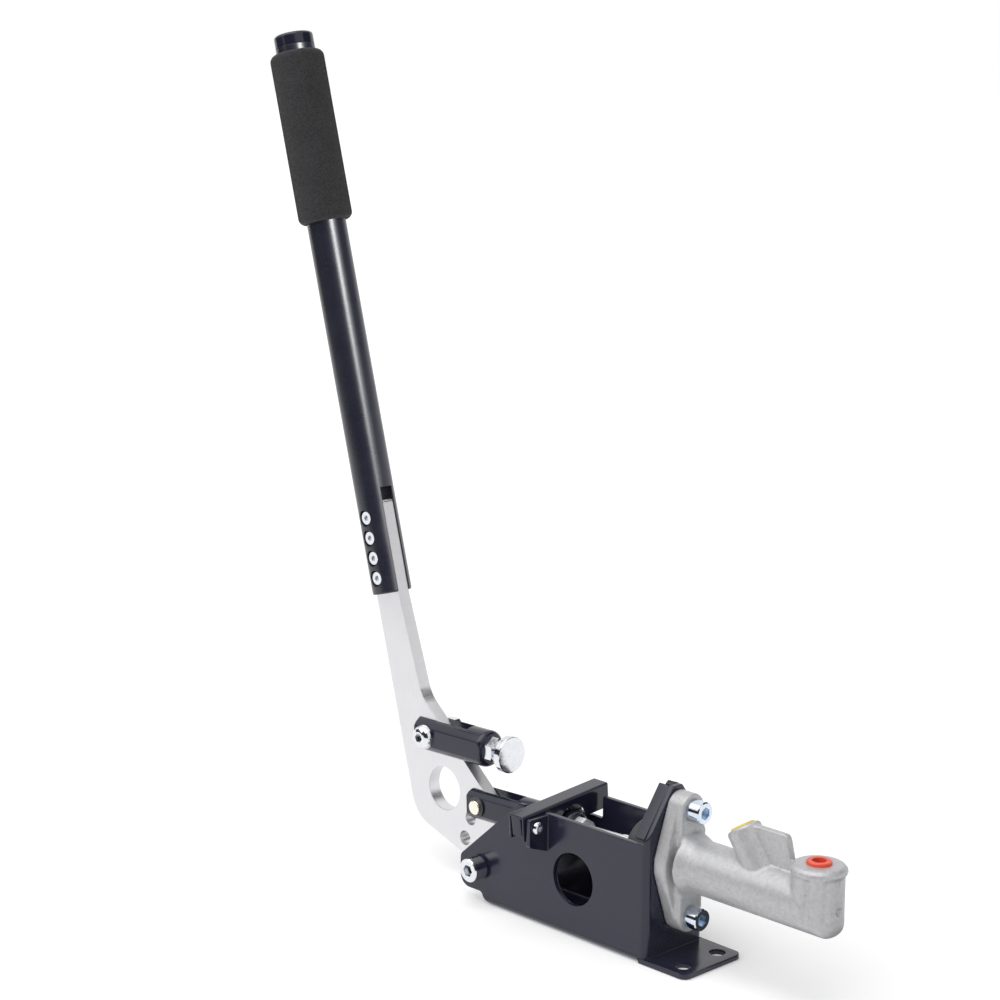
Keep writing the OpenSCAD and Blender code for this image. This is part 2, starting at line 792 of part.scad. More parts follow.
// Moulded valleys down the column: angle from x, radius, depth and lower end about the cylinder's axis
valleys = [[-78, 2.3, 1.4, -6], [-34, 5, 0.6, -3]];
// Lathe centre in the nose
centre_d = 5;

module cylinder_casting() {
    on_axis() {
        along(end_x, end_x + wing_t) flange_outline();
        along(end_x, end_x + flange_t) {
            for (s = [-1, 1]) translate([0, s * flange_gap / 2]) circle(r = ear_r);
            square([2 * ear_r, flange_gap], center = true);
        }
        rod_x(end_x - spigot_l, end_x + eps, spigot_d);
        rod_x(end_x + flange_t - eps, end_x + column_x, barrel_d);
        translate([end_x + flange_t, 0, 0]) rotate([0, 90, 0])
            cylinder(h = neck_l, d1 = barrel_d + 6, d2 = barrel_d);
        intersection() {
            rod_x(end_x + column_x - 1, end_x + column_x + column_d, barrel_d);
            translate([end_x + column_x, 0, 0]) rotate_extrude() polygon(rounded([
                [0, -barrel_d / 2, 0], [column_d / 2, -barrel_d / 2, nose_r], [column_d / 2, column_h, 0],
                [0, column_h, 0]
            ]));
        }
        translate([end_x + column_x, 0, 0]) rotate_extrude() polygon([
            [0, 0], [column_d / 2, 0], [column_d / 2, column_h - collar_h],
            [column_d / 2 + collar_out, column_h - collar_h + collar_out],
            [column_d / 2 + collar_out, column_h - 2], [column_d / 2 - 0.9, column_h], [0, column_h]
        ]);
        across(-web_t / 2, web_t / 2) web_outline();
    }
    intersection() {
        at_inlet() rotate_extrude() polygon(rounded([
            [0, -2 * inlet_h, 0], [inlet_d / 2, -2 * inlet_h, 0], [inlet_d / 2, 0, rim_r], [0, 0, 0]
        ]));
        translate([0, -far, mc_z]) cube([far, 2 * far, far]);
    }
}

// Valleys down both sides of the column, under its collar, with round lower ends
module column_valleys() {
    for (v = valleys, s = [-1, 1]) {
        out = column_d / 2 + v[1] - v[2];
        translate([out * cos(v[0]), s * out * sin(v[0]), v[3]]) {
            cylinder(h = column_h - collar_h - v[3], r = v[1]);
            sphere(r = v[1]);
        }
    }
}

// Web between the inlet boss and the column, in x and z about the cylinder's axis
module web_outline() {
    x0 = end_x + inlet_x + inlet_d / 2 * cos(inlet_lean) - 1;
    top = inlet_h + inlet_d / 2 * sin(inlet_lean) - web_drop;
    end = x0 + web_l - web_foot;
    polygon(rounded([
        [x0, 0, 0], [x0, top, 1.5], [end - web_slope, top, 3], [end, barrel_d / 2, 0], [end, 0, 0]
    ]));
}

module master_cylinder() {
    color(cast) difference() {
        cylinder_casting();
        on_axis() {
            rod_x(end_x - spigot_l - 1, bore_end, bore_d);
            rod_x(keeper_x - groove_l, keeper_x, bore_d + 2 * ring_deep);
            rod_x(bore_end - 1, end_x + column_x, passage_d);
            for (s = [-1, 1])
                translate([0, 0, s * flange_gap / 2])
                    rod_x(end_x - 1, end_x + flange_t + 1, flange_bolt_d + 2 * bolt_gap);
            translate([end_x + column_x, 0, 0]) {
                translate([0, 0, -port_sink]) cylinder(h = column_h + port_sink + 1, d = port_d);
                column_valleys();
                translate([column_d / 2, 0, 0]) rotate([0, -90, 0])
                    cylinder(h = centre_d / 2, d1 = centre_d, d2 = 0);
            }
        }
        at_inlet() translate([0, 0, -port_depth]) cylinder(h = port_depth + 1, d = port_d);
    }
}

module flange_bolts() {
    reach = flange_t + sheet + nut_h(flange_bolt_d) + 2;
    color(zinc) for (s = [-1, 1])
        translate([end_x + flange_t, 0, mc_z + s * flange_gap / 2]) rotate([0, 90, 0])
            cap_screw(flange_bolt_d, reach, 1.5 * flange_bolt_d, flange_bolt_d, 0.75 * flange_bolt_d);
}

// Round press-in nuts behind the end plate, small enough to clear its lips
module flange_nuts() {
    back = end_x - sheet - nut_h(flange_bolt_d);
    color(zinc) for (s = [-1, 1])
        translate([0, 0, mc_z + s * flange_gap / 2]) difference() {
            rod_x(back, end_x - sheet, 1.4 * flange_bolt_d);
            rod_x(back - 1, end_x, flange_bolt_d + 2 * run_gap);
        }
}

// Transport plug along z: flange above 0, body below
module port_plug(d_flange, t, depth, hollow) {
    difference() {
        rotate_extrude() polygon(rounded([
            [0, -depth, 0], [port_d / 2 - run_gap, -depth, 1], [port_d / 2 - run_gap, 0, 0],
            [d_flange / 2, 0, 0], [d_flange / 2, t, 0.6], [0, t, 0]
        ]));
        translate([0, 0, t - hollow]) cylinder(h = hollow + 1, d = 0.8 * port_d);
    }
}

module inlet_plug() {
    color("#f0c22b") at_inlet() port_plug(port_d + 4, 1, 9, 0.6);
}

module outlet_plug() {
    color("#e2402c") translate([end_x + column_x, 0, mc_z + column_h]) port_plug(port_d + 3.7, 1.6, 9, 8);
}

module dust_boot() {
    x = end_x - sheet;
    color(rubber) on_axis() translate([x, 0, 0]) rotate([0, -90, 0]) rotate_extrude() polygon(rounded([
        [spigot_d / 2 + run_gap, 0, 0], [boot_d / 2, 0, 0.8], [boot_d / 2, boot_l, 3],
        [boot_hole / 2, boot_l, 0.6], [boot_hole / 2, boot_l - boot_wall, 0.6],
        [spigot_d / 2 - 2, boot_l - boot_wall, 0.5], [spigot_d / 2 + run_gap, boot_l - 2 * boot_wall, 0]
    ]));
}

module stop_washer() {
    color(zinc) on_axis() difference() {
        rod_x(keeper_x, keeper_x + keeper_l, bore_d - 2 * run_gap);
        rod_x(keeper_x - 1, keeper_x + keeper_l + 1, keeper_hole);
    }
}

module snap_ring() {
    x = end_x - spigot_l + ring_in;
    color(anodised) on_axis() difference() {
        rod_x(x, x + groove_l, bore_d + 2 * ring_deep - 4 * run_gap);
        rod_x(x - 1, x + groove_l + 1, bore_d - 4);
        translate([x - 1, -2, 0]) cube([groove_l + 2, 4, bore_d]);
    }
}

// Piston with two lands, a waist between them and a cup for the rod's tip
module piston() {
    r = piston_r;
    waist = r - waist_deep;
    tail = piston_l - land_l - cup_l;
    color("#caa45c") on_axis() translate([piston_rear, 0, 0]) rotate([0, 90, 0]) rotate_extrude() polygon([
        [0, cup_depth], [rod_d / 2 + 1, cup_depth - 1], [rod_d / 2 + 1.6, 0], [r - 0.5, 0], [r, 0.5],
        [r, land_l], [waist, land_l], [waist, land_l + cup_l], [r, land_l + cup_l], [r, 2 * land_l + cup_l],
        [waist - 1, 2 * land_l + cup_l], [waist - 1, tail - land_l], [r, tail - land_l], [r, tail],
        [waist, tail], [waist, tail + cup_l], [r, tail + cup_l], [r, piston_l - 1], [r - 1, piston_l],
        [0, piston_l]
    ]);
}

// Rubber cup seal in a piston groove that starts at x
module cup_seal(x) {
    r = piston_r;
    waist = r - waist_deep + run_gap;
    color(rubber) on_axis() translate([piston_rear + x, 0, 0]) rotate([0, 90, 0]) rotate_extrude() polygon([
        [waist, 0.1], [r - 0.6, 0.1], [r, cup_l - 1], [r - 0.8, cup_l - 0.1], [r - 1.6, cup_l - 1.6],
        [waist, cup_l - 1.6]
    ]);
}

module pressure_cup() {
    cup_seal(piston_l - land_l - cup_l);
}

module rear_cup() {
    cup_seal(land_l);
}

// Coil spring along x, swept as rings of points round a helix
module return_spring() {
    x0 = piston_rear + piston_l + spring_gap + spring_wire / 2;
    x1 = bore_end - spring_gap - spring_wire / 2;
    r = bore_d / 2 - spring_in;
    sides = 6;
    steps = 20 * spring_turns;
    function mid(i) = let (a = 360 * spring_turns * i / steps)
        [x0 + (x1 - x0) * i / steps, r * cos(a), r * sin(a)];
    function ring(i) = let (a = 360 * spring_turns * i / steps)
        [for (k = [0:sides - 1]) mid(i) + spring_wire / 2 * (cos(360 * k / sides) * [0, cos(a), sin(a)]
            + sin(360 * k / sides) * [1, 0, 0])];
    points = [for (i = [0:steps]) each ring(i)];
    walls = [for (i = [0:steps - 1], k = [0:sides - 1])
        let (n = (k + 1) % sides, a = i * sides, b = a + sides)
        each [[a + k, a + n, b + n], [a + k, b + n, b + k]]];
    ends = [[for (k = [sides - 1:-1:0]) k], [for (k = [0:sides - 1]) steps * sides + k]];
    color(zinc) on_axis() polyhedron(points, concat(walls, ends));
}

base_bracket();
pivot_bolt();
pivot_washers();
pivot_nut();
pivot_spacers();
bar_screw();
bar_nut();
master_cylinder();
flange_bolts();
flange_nuts();
inlet_plug();
outlet_plug();
dust_boot();
stop_washer();
snap_ring();
return_spring();
cross_bar();
lever_plate();
pivot_bush();
handle_tube();
handle_screws();
foam_grip();
end_cap();
stop_fork();
fork_screw();
fork_nut();
stop_bolt();
stop_locknut();
rod_clevis();
clevis_pin();
clevis_clips();
push_rod();
rod_locknut();
piston();
pressure_cup();
rear_cup();
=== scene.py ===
import json
import math
import bpy
from mathutils import Matrix, Vector

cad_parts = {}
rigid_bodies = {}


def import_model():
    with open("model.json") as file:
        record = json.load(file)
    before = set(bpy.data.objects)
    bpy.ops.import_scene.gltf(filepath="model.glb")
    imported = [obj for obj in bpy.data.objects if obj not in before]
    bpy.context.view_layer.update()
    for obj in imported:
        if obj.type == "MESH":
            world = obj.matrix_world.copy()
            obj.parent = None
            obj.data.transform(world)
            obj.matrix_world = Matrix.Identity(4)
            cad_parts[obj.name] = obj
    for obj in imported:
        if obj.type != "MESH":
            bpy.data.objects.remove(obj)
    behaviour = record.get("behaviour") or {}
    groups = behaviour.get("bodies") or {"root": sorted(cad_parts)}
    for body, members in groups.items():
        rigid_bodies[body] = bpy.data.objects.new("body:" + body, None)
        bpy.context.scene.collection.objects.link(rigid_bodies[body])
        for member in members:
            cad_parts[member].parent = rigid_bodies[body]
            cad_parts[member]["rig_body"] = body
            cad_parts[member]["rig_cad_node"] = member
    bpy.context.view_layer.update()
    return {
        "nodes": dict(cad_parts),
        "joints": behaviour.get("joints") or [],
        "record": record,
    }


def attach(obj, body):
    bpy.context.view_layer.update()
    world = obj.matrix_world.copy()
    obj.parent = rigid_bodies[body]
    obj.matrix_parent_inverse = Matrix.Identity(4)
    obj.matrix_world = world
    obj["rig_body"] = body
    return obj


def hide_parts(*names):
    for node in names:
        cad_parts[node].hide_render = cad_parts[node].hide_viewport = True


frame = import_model()
nodes = frame["nodes"]
joints = {joint["name"]: joint for joint in frame["joints"]}
bodyOf = {name: node["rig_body"] for name, node in nodes.items()}
slotOf = {part["node"]: part["material_slot"] for part in frame["record"]["subparts"]}
bpy.context.scene.view_settings.view_transform = "Standard"
print("frame loaded:", len(nodes), "nodes")


# camera as fitted to the photograph
camera = {
    "place": (0.7994, -0.8716, 0.4731),
    "azimuth": 46.2,
    "elevation": 11.71,
    "roll": 0.41,
    "lens": 84.83,
    "shiftX": 0.0222,
    "shiftY": 0.0109,
    "sensor": 36,
    "farthest": 50,
}


def makeCamera():
    bpy.ops.object.camera_add()
    eye = bpy.context.active_object
    eye.name = "photoCamera"
    turn = Matrix.Rotation(math.radians(camera["azimuth"]), 4, "Z")
    tip = Matrix.Rotation(math.radians(90 - camera["elevation"]), 4, "X")
    roll = Matrix.Rotation(math.radians(camera["roll"]), 4, "Z")
    eye.matrix_world = Matrix.Translation(camera["place"]) @ turn @ tip @ roll
    eye.data.lens = camera["lens"]
    eye.data.sensor_width = camera["sensor"]
    eye.data.shift_x = camera["shiftX"]
    eye.data.shift_y = camera["shiftY"]
    eye.data.clip_end = camera["farthest"]
    bpy.context.scene.camera = eye


makeCamera()
print("camera made")


# node tools for the materials
def startMaterial(name, colour, roughness, metallic=0.0):
    material = bpy.data.materials.new(name)
    material.use_nodes = True
    shader = material.node_tree.nodes["Principled BSDF"]
    shader.inputs["Base Color"].default_value = (*colour, 1)
    shader.inputs["Roughness"].default_value = roughness
    shader.inputs["Metallic"].default_value = metallic
    return material, material.node_tree, shader


def objectPoint(tree, stretch=(1, 1, 1), turn=(0, 0, 0)):
    coords = tree.nodes.new("ShaderNodeTexCoord")
    mapping = tree.nodes.new("ShaderNodeMapping")
    mapping.inputs["Scale"].default_value = stretch
    mapping.inputs["Rotation"].default_value = turn
    tree.links.new(coords.outputs["Object"], mapping.inputs["Vector"])
    return mapping.outputs["Vector"]


def grain(tree, point, size, detail=3.0, roughness=0.55):
    noise = tree.nodes.new("ShaderNodeTexNoise")
    noise.inputs["Scale"].default_value = 1 / size
    noise.inputs["Detail"].default_value = detail
    noise.inputs["Roughness"].default_value = roughness
    tree.links.new(point, noise.inputs["Vector"])
    return noise.outputs["Fac"]


def pits(tree, point, size):
    cells = tree.nodes.new("ShaderNodeTexVoronoi")
    cells.inputs["Scale"].default_value = 1 / size
    tree.links.new(point, cells.inputs["Vector"])
    return cells.outputs["Distance"]


def span(tree, value, low, high, toLow=0.0, toHigh=1.0):
    ranger = tree.nodes.new("ShaderNodeMapRange")
    ranger.inputs["From Min"].default_value = low
    ranger.inputs["From Max"].default_value = high
    ranger.inputs["To Min"].default_value = toLow
    ranger.inputs["To Max"].default_value = toHigh
    tree.links.new(value, ranger.inputs["Value"])
    return ranger.outputs["Result"]


def twoTone(tree, factor, first, second):
    mixer = tree.nodes.new("ShaderNodeMix")
    mixer.data_type = "RGBA"
    mixer.inputs["A"].default_value = (*first, 1)
    mixer.inputs["B"].default_value = (*second, 1)
    tree.links.new(factor, mixer.inputs["Factor"])
    return mixer.outputs["Result"]


def mixIn(tree, factor, base, colour):
    mixer = tree.nodes.new("ShaderNodeMix")
    mixer.data_type = "RGBA"
    tree.links.new(base, mixer.inputs["A"])
    mixer.inputs["B"].default_value = (*colour, 1)
    tree.links.new(factor, mixer.inputs["Factor"])
    return mixer.outputs["Result"]


def colourBy(tree, shader, factor, first, second):
    tree.links.new(twoTone(tree, factor, first, second), shader.inputs["Base Color"])


def glossBy(tree, shader, noise, gloss):
    tree.links.new(span(tree, noise, 0.3, 0.7, *gloss), shader.inputs["Roughness"])


def addUp(tree, first, second, operation="ADD"):
    maths = tree.nodes.new("ShaderNodeMath")
    maths.operation = operation
    tree.links.new(first, maths.inputs[0])
    tree.links.new(second, maths.inputs[1])
    return maths.outputs["Value"]


def roughen(tree, shader, height, depth, strength=1.0):
    bump = tree.nodes.new("ShaderNodeBump")
    bump.inputs["Strength"].default_value = strength
    bump.inputs["Distance"].default_value = depth
    tree.links.new(height, bump.inputs["Height"])
    tree.links.new(bump.outputs["Normal"], shader.inputs["Normal"])


blackPaint = {
    "colour": (0.0155, 0.0162, 0.0345),
    "dusty": (0.027, 0.028, 0.05),
    "gloss": (0.14, 0.24),
    "cloudSize": 0.03,
    "dustSize": 0.0012,
    "dustFrom": (0.62, 0.78),
    "peel": 0.0011,
    "peelDepth": 0.00002,
}


def makeBlackPaint():
    material, tree, shader = startMaterial("blackPaint", blackPaint["colour"], roughness=0.2)
    point = objectPoint(tree)
    cloud = grain(tree, point, blackPaint["cloudSize"], detail=4)
    dust = span(tree, grain(tree, point, blackPaint["dustSize"], detail=2), *blackPaint["dustFrom"])
    specks = addUp(tree, cloud, dust, "MULTIPLY")
    colourBy(tree, shader, specks, blackPaint["colour"], blackPaint["dusty"])
    glossBy(tree, shader, cloud, blackPaint["gloss"])
    peel = grain(tree, point, blackPaint["peel"], detail=1)
    roughen(tree, shader, peel, blackPaint["peelDepth"], strength=0.35)
    return material


blackAnodised = {
    "colour": (0.0165, 0.017, 0.034),
    "dusty": (0.03, 0.031, 0.05),
    "gloss": (0.1, 0.2),
    "shine": 0.5,
}
satinAnodised = {
    "colour": (0.0095, 0.01, 0.0195),
    "dusty": (0.05, 0.052, 0.07),
    "gloss": (0.25, 0.33),
    "shine": 0.75,
}


def makeAnodised(name, anodised):
    material, tree, shader = startMaterial(name, anodised["colour"], roughness=0.2)
    shader.inputs["Specular IOR Level"].default_value = anodised["shine"]
    point = objectPoint(tree)
    speckle = grain(tree, point, size=0.0016, detail=2, roughness=0.7)
    specks = span(tree, speckle, low=0.66, high=0.8)
    cloud = grain(tree, point, size=0.02)
    colourBy(tree, shader, specks, anodised["colour"], anodised["dusty"])
    glossBy(tree, shader, cloud, anodised["gloss"])
    etch = grain(tree, point, size=0.0009, detail=2)
    roughen(tree, shader, etch, depth=0.000008, strength=0.3)
    return material


zincSteel = {
    "colour": (0.79, 0.795, 0.81),
    "blue": (0.7, 0.73, 0.79),
    "paintedNookShade": (0.33, 0.35, 0.4),  # painted shade, darker zinc in the sockets and the lines where pieces meet
    "paintedShadeReach": 0.0035,
    "gloss": (0.07, 0.18),
}
blueZinc = {
    "colour": (0.72, 0.77, 0.84),
    "blue": (0.58, 0.68, 0.8),
    "paintedNookShade": (0.2, 0.33, 0.47),
    "paintedShadeReach": 0.0035,
    "gloss": (0.06, 0.15),
}
dullZinc = {
    "colour": (0.82, 0.82, 0.84),
    "blue": (0.74, 0.76, 0.8),
    "paintedNookShade": (0.5, 0.5, 0.53),
    "paintedShadeReach": 0.002,
    "gloss": (0.35, 0.5),
}


def makeZinc(name, zinc):
    material, tree, shader = startMaterial(name, zinc["colour"], roughness=0.15, metallic=1.0)
    point = objectPoint(tree)
    cloud = span(tree, grain(tree, point, size=0.004), low=0.4, high=0.75)
    fine = grain(tree, point, size=0.0015)
    plate = twoTone(tree, cloud, zinc["colour"], zinc["blue"])
    # painted shade: ambient occlusion darkens the zinc towards the shade colour in sockets and where
    # pieces meet
    paintedNookShade = tree.nodes.new("ShaderNodeAmbientOcclusion")
    paintedNookShade.samples = 8
    paintedNookShade.inputs["Distance"].default_value = zinc["paintedShadeReach"]
    depth = span(tree, paintedNookShade.outputs["AO"], low=0.2, high=0.75, toLow=1.0, toHigh=0.0)
    tree.links.new(mixIn(tree, depth, plate, zinc["paintedNookShade"]), shader.inputs["Base Color"])
    glossBy(tree, shader, fine, zinc["gloss"])
    etch = grain(tree, point, size=0.0005, detail=2)
    roughen(tree, shader, etch, depth=0.000006, strength=0.4)
    return material


yellowZinc = {"colour": (0.86, 0.82, 0.68), "pale": (0.93, 0.91, 0.82)}


def makeYellowZinc():
    colour = yellowZinc["colour"]
    material, tree, shader = startMaterial("yellowZinc", colour, roughness=0.2, metallic=1.0)
    point = objectPoint(tree)
    colourBy(tree, shader, grain(tree, point, size=0.002), colour, yellowZinc["pale"])
    etch = grain(tree, point, size=0.0004, detail=2)
    roughen(tree, shader, etch, depth=0.000006, strength=0.4)
    return material


springSteel = {"colour": (0.035, 0.036, 0.04), "edge": (0.12, 0.12, 0.13)}


def makeSpringSteel():
    colour = springSteel["colour"]
    material, tree, shader = startMaterial("springSteel", colour, roughness=0.35, metallic=0.6)
    point = objectPoint(tree)
    colourBy(tree, shader, grain(tree, point, size=0.0012), colour, springSteel["edge"])
    etch = grain(tree, point, size=0.0003, detail=2)
    roughen(tree, shader, etch, depth=0.000006, strength=0.4)
    return material


castAluminium = {
    "light": (0.53, 0.53, 0.54),
    "dark": (0.44, 0.44, 0.45),
    "pit": (0.36, 0.36, 0.37),
    "grain": 0.0004,
    "lump": 0.0022,
    "pitSize": 0.0013,
    "pitFrom": (0.65, 0.75),
    "gloss": (0.3, 0.5),
    "relief": 0.00016,
}


def makeCastAluminium():
    cast = castAluminium
    material, tree, shader = startMaterial("castAluminium", cast["light"], roughness=0.5, metallic=0.3)
    point = objectPoint(tree)
    lump = grain(tree, point, cast["lump"], detail=4, roughness=0.6)
    fine = grain(tree, point, cast["grain"], roughness=0.6)
    skin = twoTone(tree, span(tree, lump, low=0.35, high=0.7), cast["light"], cast["dark"])
    hole = span(tree, grain(tree, point, cast["pitSize"], detail=2, roughness=0.5), *cast["pitFrom"])
    pitted = mixIn(tree, hole, skin, cast["pit"])
    tree.links.new(pitted, shader.inputs["Base Color"])
    glossBy(tree, shader, fine, cast["gloss"])
    level = addUp(tree, addUp(tree, fine, lump), hole, "SUBTRACT")
    roughen(tree, shader, level, cast["relief"], strength=0.45)
    return material


rawAluminium = {
    "colour": (0.79, 0.785, 0.805),
    "shade": (0.7, 0.695, 0.715),
    "gloss": (0.28, 0.42),
    "lineStretch": (30, 1, 1),
    "lineTurn": (0, math.radians(35), 0),
}


def makeRawAluminium():
    raw = rawAluminium
    material, tree, shader = startMaterial("rawAluminium", raw["colour"], roughness=0.34, metallic=1.0)
    brushed = objectPoint(tree, raw["lineStretch"], raw["lineTurn"])
    lines = grain(tree, brushed, size=0.012, detail=4, roughness=0.65)
    cloud = grain(tree, objectPoint(tree), size=0.04)
    streaks = addUp(tree, lines, cloud, "MULTIPLY")
    colourBy(tree, shader, streaks, raw["colour"], raw["shade"])
    glossBy(tree, shader, lines, raw["gloss"])
    roughen(tree, shader, lines, depth=0.00001, strength=0.3)
    return material


pistonAlloy = {"colour": (0.62, 0.5, 0.3), "shade": (0.5, 0.4, 0.24)}


def makePistonAlloy():
    colour = pistonAlloy["colour"]
    material, tree, shader = startMaterial("pistonAlloy", colour, roughness=0.3, metallic=1.0)
    rings = grain(tree, objectPoint(tree, stretch=(40, 1, 1)), size=0.02)
    colourBy(tree, shader, rings, colour, pistonAlloy["shade"])
    roughen(tree, shader, rings, depth=0.00001, strength=0.3)
    return material


bushBronze = {"colour": (0.55, 0.36, 0.17), "shade": (0.4, 0.25, 0.12)}


def makeBushBronze():
    colour = bushBronze["colour"]
    material, tree, shader = startMaterial("bushBronze", colour, roughness=0.35, metallic=1.0)
    cloud = grain(tree, objectPoint(tree), size=0.001)
    colourBy(tree, shader, cloud, colour, bushBronze["shade"])
    roughen(tree, shader, cloud, depth=0.00002, strength=0.3)
    return material


softFoam = {
    "colour": (0.05, 0.05, 0.0525),
    "pore": (0.016, 0.016, 0.017),
    "poreSize": 0.00085,
    "crumbSize": 0.0006,
    "shine": 0.25,
    "sheen": 0.12,
    "sheenRoughness": 0.5,
}


def makeSoftFoam():
    material, tree, shader = startMaterial("softFoam", softFoam["colour"], roughness=0.92)
    shader.inputs["Specular IOR Level"].default_value = softFoam["shine"]
    shader.inputs["Sheen Weight"].default_value = softFoam["sheen"]
    shader.inputs["Sheen Roughness"].default_value = softFoam["sheenRoughness"]
    point = objectPoint(tree)
    pore = span(tree, pits(tree, point, softFoam["poreSize"]), low=0.12, high=0.5)
    crumb = grain(tree, point, softFoam["crumbSize"], roughness=0.65)
    cloud = span(tree, grain(tree, point, size=0.018), low=0.2, high=0.8, toLow=0.8, toHigh=1.15)
    height = addUp(tree, pore, crumb)
    shade = addUp(tree, pore, cloud, "MULTIPLY")
    colourBy(tree, shader, shade, softFoam["pore"], softFoam["colour"])
    roughen(tree, shader, height, depth=0.00025, strength=0.7)
    return material


bootRubber = {"colour": (0.02, 0.02, 0.0215), "bloom": (0.045, 0.045, 0.048)}


def makeBootRubber():
    material, tree, shader = startMaterial("bootRubber", bootRubber["colour"], roughness=0.5)
    point = objectPoint(tree)
    cloud = grain(tree, point, size=0.006, detail=4)
    colourBy(tree, shader, cloud, bootRubber["colour"], bootRubber["bloom"])
    fine = grain(tree, point, size=0.0006, detail=2)
    roughen(tree, shader, fine, depth=0.00003, strength=0.4)
    return material


yellowPlug = {"colour": (0.84, 0.62, 0.06), "pale": (0.9, 0.74, 0.2)}
redPlug = {"colour": (0.78, 0.055, 0.02), "pale": (0.86, 0.13, 0.07)}


def makePlugPlastic(name, plug):
    material, tree, shader = startMaterial(name, plug["colour"], roughness=0.38)
    shader.inputs["Subsurface Weight"].default_value = 0.15
    shader.inputs["Subsurface Radius"].default_value = (0.002, 0.001, 0.0005)
    point = objectPoint(tree)
    colourBy(tree, shader, grain(tree, point, size=0.003), plug["colour"], plug["pale"])
    fine = grain(tree, point, size=0.0005, detail=2)
    roughen(tree, shader, fine, depth=0.00002, strength=0.35)
    return material


finishes = {
    "black_paint": makeBlackPaint(),
    "black_anodised": makeAnodised("blackAnodised", blackAnodised),
    "zinc_steel": makeZinc("zincSteel", zincSteel),
    "yellow_zinc": makeYellowZinc(),
    "spring_steel": makeSpringSteel(),
    "cast_aluminium": makeCastAluminium(),
    "raw_aluminium": makeRawAluminium(),
    "piston_alloy": makePistonAlloy(),
    "bronze": makeBushBronze(),
    "foam": makeSoftFoam(),
    "rubber": makeBootRubber(),
    "yellow_plastic": makePlugPlastic("yellowPlastic", yellowPlug),
    "red_plastic": makePlugPlastic("redPlastic", redPlug),
}


rodZinc = makeZinc("dullZinc", dullZinc)
ownFinish = {  # pieces whose finish isn't quite that of their slot
    "handle_tube": makeAnodised("satinAnodised", satinAnodised),
    "flange_bolts": makeZinc("blueZinc", blueZinc),
    "push_rod": rodZinc,
    "rod_locknut": rodZinc,
}


def dress(piece, name):
    piece.data.materials.clear()
    piece.data.materials.append(ownFinish.get(name, finishes[slotOf[name]]))


for name, node in nodes.items():
    dress(node, name)
print("materials made:", len(finishes))


# tools for the pieces that are modelled here
def clearSelection():
    if bpy.context.object and bpy.context.object.mode != "OBJECT":
        bpy.ops.object.mode_set(mode="OBJECT")
    bpy.ops.object.select_all(action="DESELECT")


def pick(piece):
    clearSelection()
    piece.select_set(True)
    bpy.context.view_layer.objects.active = piece


def applyModifier(piece, kind, **settings):
    pick(piece)
    modifier = piece.modifiers.new(kind.lower(), kind)
    for key, value in settings.items():
        setattr(modifier, key, value)
    bpy.ops.object.modifier_apply(modifier=modifier.name)


def copyNode(name, pieceName):
    pick(nodes[name])
    bpy.ops.object.duplicate()
    piece = bpy.context.active_object
    piece.name = pieceName
    piece.parent = None
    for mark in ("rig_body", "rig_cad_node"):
        del piece[mark]
    bpy.ops.object.mode_set(mode="EDIT")
    bpy.ops.mesh.select_all(action="SELECT")
    bpy.ops.mesh.remove_doubles(threshold=0.000002)
    bpy.ops.object.mode_set(mode="OBJECT")
    return piece


def standFor(piece, name):
    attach(piece, bodyOf[name])
    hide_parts(name)
    dress(piece, name)


# edges of the folded, cut and turned pieces, broken as a file would
brokenEdges = {
    "base_bracket": 0.0005,
    "cross_bar": 0.0005,
    "lever_plate": 0.0004,
    "stop_fork": 0.0004,
    "rod_clevis": 0.0004,
    "handle_tube": 0.0003,
}
edgeTool = {
    "steps": 2,
    "sharpFrom": math.radians(35),
    "smoothTo": math.radians(32),
    "proud": 0.00001,  # how far a vertex may stand out of the solid
    "slip": 1.2,  # how far it may stray from the solid, in widths
}


def breakEdges(name, width):
    piece = copyNode(name, name + "Finished")
    low = [min(corner[axis] for corner in piece.bound_box) for axis in range(3)]
    high = [max(corner[axis] for corner in piece.bound_box) for axis in range(3)]
    applyModifier(piece, "BEVEL", width=width, segments=edgeTool["steps"], limit_method="ANGLE",
                  angle_limit=edgeTool["sharpFrom"], loop_slide=False, use_clamp_overlap=False)
    for vertex in piece.data.vertices:  # a bevel that slips in a sharp corner goes back to the solid
        place, normal = nodes[name].closest_point_on_mesh(vertex.co)[1:3]
        stray = vertex.co - place
        outside = any(not low[axis] <= vertex.co[axis] <= high[axis] for axis in range(3))
        proud = stray.dot(normal) > edgeTool["proud"]
        if outside or proud or stray.length > edgeTool["slip"] * width:
            vertex.co = place
    pick(piece)
    bpy.ops.object.shade_smooth_by_angle(angle=edgeTool["smoothTo"])
    applyModifier(piece, "WEIGHTED_NORMAL", mode="FACE_AREA", weight=100, keep_sharp=True)
    standFor(piece, name)


for name, width in brokenEdges.items():
    breakEdges(name, width)
    print("edges broken:", name)


# cast body: the sand mould leaves soft corners and a fine skin
castBody = {
    "voxel": 0.0006,
    "softening": 0.5,
    "rounds": 12,
    "skin": 0.00007,
    "skinSize": 0.003,
    "barrel": 0.014,
    "bore": 0.009525,
    "axisUp": 0.052725,
    "shoulder": 0.0507,  # front face of the flange, where the barrel leaves it
    "filletReach": 0.0055,
    "filletSink": 0.001,
    "filletRounds": 70,
}


def fromBoreAxis(vertex):
    return math.hypot(vertex.co.y, vertex.co.z - castBody["axisUp"])


